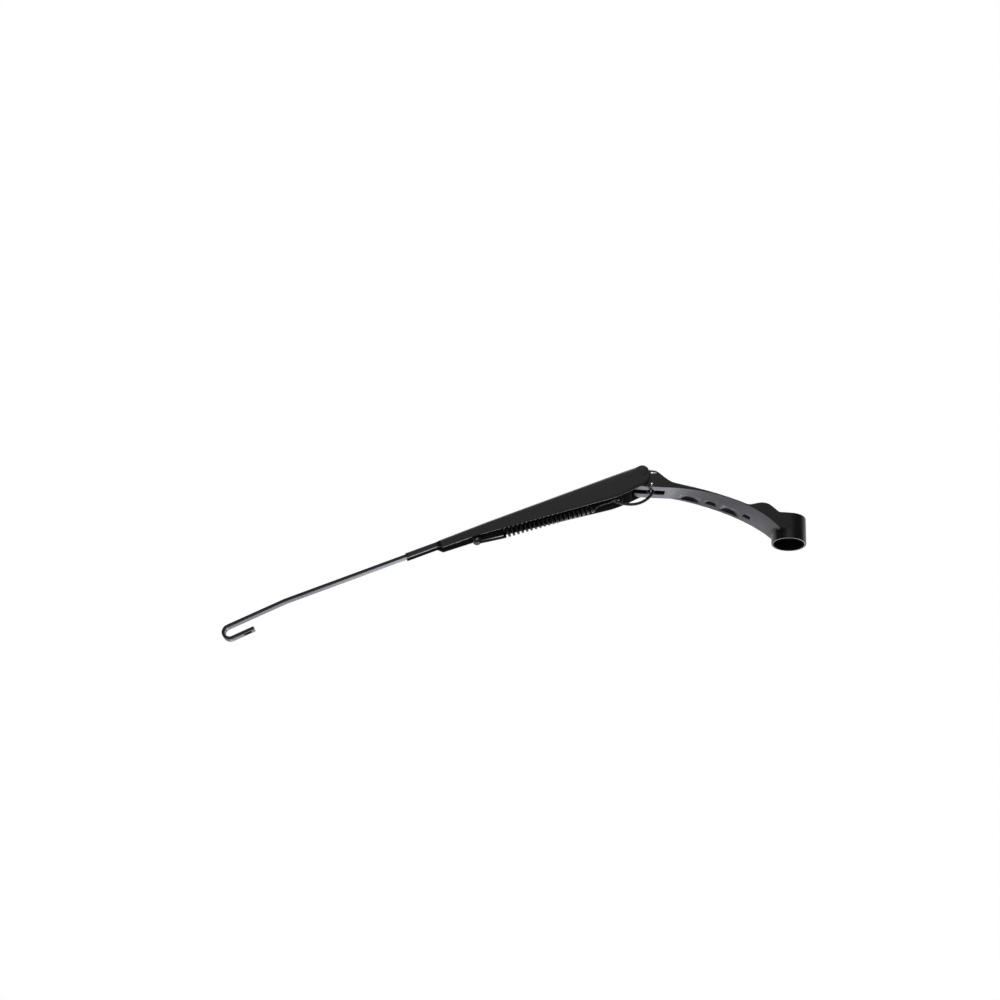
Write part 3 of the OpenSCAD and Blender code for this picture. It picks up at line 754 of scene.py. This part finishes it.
pin_mesh = turned_piece("anchor_pin", pin_outline, anchor, (0, 1, 0), 32)
new_piece("anchor_pin", pin_mesh, bare_steel, "arm", "bare_steel", "spring_pin")

# Two steel rivets hold the channel's top, the rod and the hanger together. They are painted with the arm,
# and show as low domes on the top and under the hanger.
rod_rivet_from = 9.0
rod_rivet_gap = 9.0
rod_rivet_d = 4.0
rod_rivet_head_d = 7.0
rod_rivet_head_h = 1.4
hanger_t = 1.5


def rivet_row_tree():
    """Copies of one rivet in a row: its first place, the step between places and how many."""
    tree = bpy.data.node_groups.new("rivet_row", "GeometryNodeTree")
    tree.interface.new_socket("Geometry", in_out="INPUT", socket_type="NodeSocketGeometry")
    for name, kind in (("Count", "NodeSocketInt"), ("Step", "NodeSocketVector"),
                       ("Paint", "NodeSocketMaterial")):
        tree.interface.new_socket(name, in_out="INPUT", socket_type=kind)
    tree.interface.new_socket("Geometry", in_out="OUTPUT", socket_type="NodeSocketGeometry")
    given = add_node(tree, "NodeGroupInput")
    row = add_node(tree, "GeometryNodeMeshLine", {
        "Count": given.outputs["Count"], "Offset": given.outputs["Step"]})
    copies = add_node(tree, "GeometryNodeInstanceOnPoints", {
        "Points": row.outputs["Mesh"], "Instance": given.outputs["Geometry"]})
    real = add_node(tree, "GeometryNodeRealizeInstances", {"Geometry": copies.outputs["Instances"]})
    finish = add_node(tree, "GeometryNodeSetMaterial", {
        "Geometry": real.outputs["Geometry"], "Material": given.outputs["Paint"]})
    add_node(tree, "NodeGroupOutput", {"Geometry": finish.outputs["Geometry"]})
    return tree


def grown(mesh, tree, inputs):
    """The plain mesh that a Geometry Nodes tree makes from a mesh, with its inputs given by name."""
    carrier = bpy.data.objects.new("carrier", mesh)
    modifier = carrier.modifiers.new(tree.name, "NODES")
    modifier.node_group = tree
    for socket in tree.interface.items_tree:
        if socket.item_type == "SOCKET" and socket.in_out == "INPUT" and socket.name in inputs:
            modifier[socket.identifier] = inputs[socket.name]
    bpy.context.scene.collection.objects.link(carrier)
    made = bpy.data.meshes.new_from_object(
        carrier.evaluated_get(bpy.context.evaluated_depsgraph_get()))
    bpy.data.objects.remove(carrier)
    return made


low = rod_under - hanger_t
upper_head = dome(top_z, rod_rivet_head_d / 2, rod_rivet_head_h)
lower_head = [(2 * low - a, r) for a, r in dome(low, rod_rivet_head_d / 2, rod_rivet_head_h)][::-1]
rod_rivet_outline = lower_head + [(low, rod_rivet_d / 2), (top_z, rod_rivet_d / 2)] + upper_head
first_rivet = on_arm(-anchor_x - rod_rivet_from, 0, 0)
arm_up = on_arm(0, 0, 1) - on_arm(0, 0, 0)
one_rivet = turned_piece("one_rod_rivet", rod_rivet_outline, first_rivet, arm_up, 32)
rivet_step = on_arm(-rod_rivet_gap, 0, 0) - on_arm(0, 0, 0)
rivets = grown(one_rivet, rivet_row_tree(), {"Count": 2, "Step": rivet_step, "Paint": sheet_paint})
new_piece("rod_rivet_pair", rivets, sheet_paint, "arm", "black_steel", "rod_rivets")

# The tension spring is oil-blackened spring wire, coiled cold, with a long straight shank to the anchor pin
# and a hook at each end. One hook is round the anchor pin, and the other is in the link's eye.
coil_r = 5.0
wire_d = 2.8
coil_turns = 20
coil_len = 93.0
coil_start = 28.0
eye_play = 0.15
link_x = 9.4
link_drop = 13.1
link_reach = 34.8
link_d = 3.0
spring_eye_r = 3.3
coil_lead = 4.0
steps_per_turn = 36
link_pivot = hinge + Vector((link_x, 0, -link_drop)) * mm
spring_line = link_pivot - anchor
spring_reach = spring_line.length / mm - link_reach
spring_aim = spring_line.normalized()
spring_up = Vector((-spring_aim.z, 0, spring_aim.x))
anchor_eye_r = anchor_d / 2 + eye_play + wire_d / 2
link_eye_r = link_d / 2 + eye_play + wire_d / 2


def wire_tree():
    """Round wire along a line of points, with its radius, its sides and its finish."""
    tree = bpy.data.node_groups.new("wire", "GeometryNodeTree")
    tree.interface.new_socket("Geometry", in_out="INPUT", socket_type="NodeSocketGeometry")
    for name, kind in (("Radius", "NodeSocketFloat"), ("Sides", "NodeSocketInt"),
                       ("Finish", "NodeSocketMaterial")):
        tree.interface.new_socket(name, in_out="INPUT", socket_type=kind)
    tree.interface.new_socket("Geometry", in_out="OUTPUT", socket_type="NodeSocketGeometry")
    given = add_node(tree, "NodeGroupInput")
    line = add_node(tree, "GeometryNodeMeshToCurve", {"Mesh": given.outputs["Geometry"]})
    ring = add_node(tree, "GeometryNodeCurvePrimitiveCircle", {
        "Resolution": given.outputs["Sides"], "Radius": given.outputs["Radius"]})
    tube = add_node(tree, "GeometryNodeCurveToMesh", {
        "Curve": line.outputs["Curve"], "Profile Curve": ring.outputs["Curve"], "Fill Caps": True})
    smooth = add_node(tree, "GeometryNodeSetShadeSmooth", {"Geometry": tube.outputs["Mesh"]})
    real = add_node(tree, "GeometryNodeRealizeInstances", {"Geometry": smooth.outputs["Geometry"]})
    finish = add_node(tree, "GeometryNodeSetMaterial", {
        "Geometry": real.outputs["Geometry"], "Material": given.outputs["Finish"]})
    add_node(tree, "NodeGroupOutput", {"Geometry": finish.outputs["Geometry"]})
    return tree


def line_mesh(name, points):
    """A line of points joined by edges, for the wire to follow."""
    mesh = bpy.data.meshes.new(name)
    mesh.from_pydata(points, [(i, i + 1) for i in range(len(points) - 1)], [])
    return mesh


def rounded_route(points, passes=3):
    """A route with its corners cut again and again, so that a wire bends softly."""
    for _ in range(passes):
        softer = [points[0]]
        for a, b in zip(points, points[1:]):
            softer += [a * 0.75 + b * 0.25, a * 0.25 + b * 0.75]
        points = softer + [points[-1]]
    return points


def spring_place(x, y, z):
    """From the spring's own frame, in mm from the anchor pin toward the link, to the row's frame."""
    return anchor + (spring_aim * x + spring_up * z) * mm + Vector((0, y * mm, 0))


def coil_place(t):
    """A point of the coil, from 0 at its start to 1 at its end."""
    a = 2 * math.pi * coil_turns * t - math.pi / 2
    return Vector((coil_start + coil_len * t, coil_r * math.cos(a), coil_r * math.sin(a)))


anchor_hook = [
    Vector((anchor_eye_r * math.cos(math.radians(a)), 0, anchor_eye_r * math.sin(math.radians(a))))
    for a in range(30, 251, 10)]
anchor_shank = rounded_route([
    anchor_hook[-1], Vector((0, 0, -anchor_eye_r)), Vector((coil_start - coil_lead, 0, -coil_r)),
    coil_place(0)])
coil = [coil_place(i / (coil_turns * steps_per_turn)) for i in range(coil_turns * steps_per_turn + 1)]
coil_end = coil_start + coil_len
hook_x = spring_reach - spring_eye_r
link_hook = [
    Vector((hook_x + link_eye_r * math.cos(math.radians(a)), link_eye_r * math.sin(math.radians(a)), 0))
    for a in range(200, 481, 10)]
link_shank = rounded_route([
    coil[-1], Vector((coil_end + coil_lead / 2, coil_r / 2, -coil_r * 0.8)),
    Vector((coil_end + coil_lead, coil_r / 4, -coil_r / 3)), Vector((coil_end + 2 * coil_lead, 0, 0)),
    Vector((hook_x - 2 * link_eye_r, 0, 0)), link_hook[0]])
spring_route = anchor_hook + anchor_shank[1:-1] + coil + link_shank[1:-1] + link_hook
# Oil-blackened wire, drawn and quenched: nearly black and the smoothest finish here, so its turns glint.
black_wire = painted("oil_blackened_spring_wire", "#0e0e0f", "#151517", 0.24, 0.8 * mm, 0.006 * mm)
wire = wire_tree()
spring_mesh = grown(line_mesh("spring_line", [spring_place(*p) for p in spring_route]), wire, {
    "Radius": wire_d / 2 * mm, "Sides": 16, "Finish": black_wire})
spring = new_piece("spring_coil", spring_mesh, black_wire, None, "spring_steel", "spring")
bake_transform(spring)

# The link is a C of thick phosphated wire, bent cold, with a closed eye at each end. One eye turns on a pin
# that is pressed through the head, inside its slot, and the spring's hook pulls on the other.
link_play = 0.05
link_pin_d = 3.4
bow_from = 225
bow_to = 310
bow_pull = 13.0
eye_pull = 19.0
eye_wrap = 298
pin_eye_r = link_pin_d / 2 + link_play + link_d / 2


def eye_points(middle_x, r, from_degrees, to_degrees):
    """Points round an eye of the link, in the link's own plane."""
    degrees_a_step = 8
    steps = round((to_degrees - from_degrees) / degrees_a_step)
    turn = [math.radians(from_degrees + (to_degrees - from_degrees) * i / steps) for i in range(steps + 1)]
    return [(middle_x + r * math.cos(a), r * math.sin(a)) for a in turn]


def link_place(along, out):
    """From the link's own plane, in mm from its pin toward the spring's hook, to the row's frame."""
    return link_pivot + (-spring_aim * along + spring_up * out) * mm


pin_eye = eye_points(0, pin_eye_r, bow_from - eye_wrap, bow_from)
hook_eye = eye_points(link_reach, spring_eye_r, bow_to, bow_to + eye_wrap)
leave, meet = math.radians(bow_from), math.radians(bow_to)
bow = bezier([
    pin_eye[-1],
    (pin_eye[-1][0] - bow_pull * math.sin(leave), pin_eye[-1][1] + bow_pull * math.cos(leave)),
    (hook_eye[0][0] + eye_pull * math.sin(meet), hook_eye[0][1] - eye_pull * math.cos(meet)),
    hook_eye[0]], 32)
link_route = pin_eye + bow[1:-1] + hook_eye
# Phosphated wire, left as the bath makes it: a dull dark grey, with broad and soft highlights.
grey_wire = painted("phosphated_steel_wire", "#2c2c2e", "#3a3a3c", 0.42, 0.5 * mm, 0.01 * mm)
link_mesh = grown(line_mesh("link_line", [link_place(*p) for p in link_route]), wire, {
    "Radius": link_d / 2 * mm, "Sides": 24, "Finish": grey_wire})
new_piece("link_bow", link_mesh, grey_wire, "link", "spring_steel", "link")

# The link's pin is bright drawn steel rod, cut to length and pressed through both cheeks of the head.
# Its bare ends lie just under the head's sides.
head_half_w = 13.7
link_pin_inset = 0.2
link_pin_reach = head_half_w - link_pin_inset
chamfer_len = 0.2
chamfer_r = link_pin_d / 2 - 0.3
link_pin_outline = [(-link_pin_reach, 0), (-link_pin_reach, chamfer_r),
                    (chamfer_len - link_pin_reach, link_pin_d / 2),
                    (link_pin_reach - chamfer_len, link_pin_d / 2),
                    (link_pin_reach, chamfer_r), (link_pin_reach, 0)]
link_pin_mesh = turned_piece("link_pin_rod", link_pin_outline, link_pivot, (0, 1, 0), 40)
new_piece("link_pin_rod", link_pin_mesh, bare_steel, "head", "bare_steel", "link_pin")

# The key is a painted highlight: a short flat of bare steel with round ends, let into the head's near side
# above the link's pin, where the crest's rounded edge shows a highlight. It stands hardly proud of the coat,
# and its face reflects the tent as that bright dash.
key_len = 6.5
key_w = 1.7
key_proud = 0.15
key_deep = 0.6
key_edge = 0.12
key_x = 10.75
key_drop = 0.43
key_at = hinge + Vector((key_x, -head_half_w, -key_drop)) * mm


def highlight_key_mesh():
    """A bar with round ends, sunk into the casting, whose outer edge is broken in two steps."""
    shell = bmesh.new()
    rings = []
    levels = ((key_proud - key_deep, 0), (key_proud - key_edge, 0),
              (key_proud - key_edge / 3, key_edge / 3), (key_proud, key_edge))
    for out, inset in levels:
        r = key_w / 2 - inset
        ring = []
        for k in range(24):
            a = math.radians(15 * k + 7.5)
            shift = math.copysign((key_len - key_w) / 2, math.cos(a))
            ring.append(shell.verts.new(
                key_at + Vector((shift + r * math.cos(a), -out, r * math.sin(a))) * mm))
        rings.append(ring)
    for a, b in zip(rings, rings[1:]):
        for k in range(len(a)):
            j = (k + 1) % len(a)
            shell.faces.new((a[k], a[j], b[j], b[k]))
    shell.faces.new(rings[0])
    shell.faces.new(rings[-1])
    bmesh.ops.recalc_face_normals(shell, faces=shell.faces)
    mesh = bpy.data.meshes.new("highlight_key")
    shell.to_mesh(mesh)
    shell.free()
    mesh.shade_smooth()
    mesh.set_sharp_from_angle(angle=math.radians(50))
    return mesh


new_piece("highlight_key", highlight_key_mesh(), bare_steel, "head", "bare_steel")
